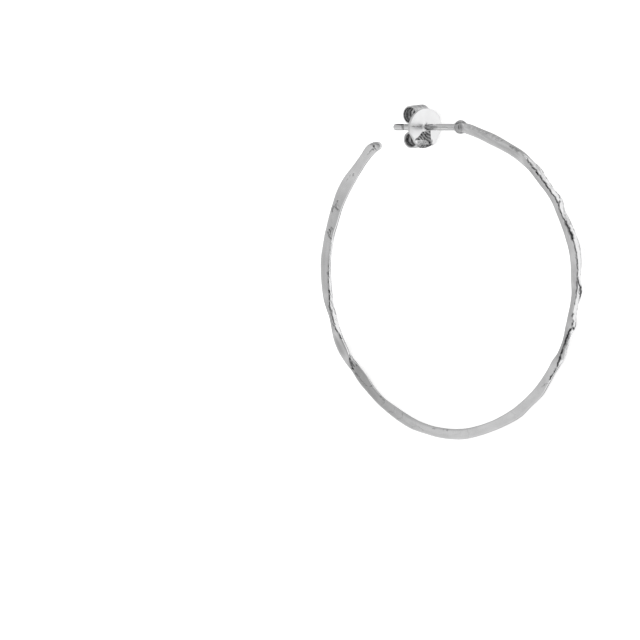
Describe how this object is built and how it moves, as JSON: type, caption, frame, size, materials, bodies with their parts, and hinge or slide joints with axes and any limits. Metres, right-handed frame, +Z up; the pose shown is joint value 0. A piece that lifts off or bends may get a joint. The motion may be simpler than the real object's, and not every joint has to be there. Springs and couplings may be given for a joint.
{
  "type": "hoop earring",
  "caption": "Round hammered hoop earring with an open gap, a joint ball, an ear post and a butterfly clutch that slides on the post.",
  "frame": {"origin": "middle of the bottom of the box round the earring as it lies on a table", "axes": "+Z up from the table, close to the hoop's own axis, from which it leans 4.4 degrees because the clutch holds its side up; +X along the ear post from its tip to the ball; +Y from the middle of the hoop towards the post"},
  "size_m": [0.0448, 0.0468, 0.0076],
  "materials": {
    "hammered_silver": "hammered and polished silver",
    "polished_silver": "bright polished silver"
  },
  "bodies": {
    "hoop": {"hoop": "hammered_silver"},
    "clutch": {"butterfly_clutch": "polished_silver"}
  },
  "joints": [
    {"name": "clutch_slide", "type": "slide", "parent": "hoop", "child": "clutch", "axis": [0.9999, 0.0005, -0.0132], "range_m": [-0.0052, 0.0047]}
  ]
}
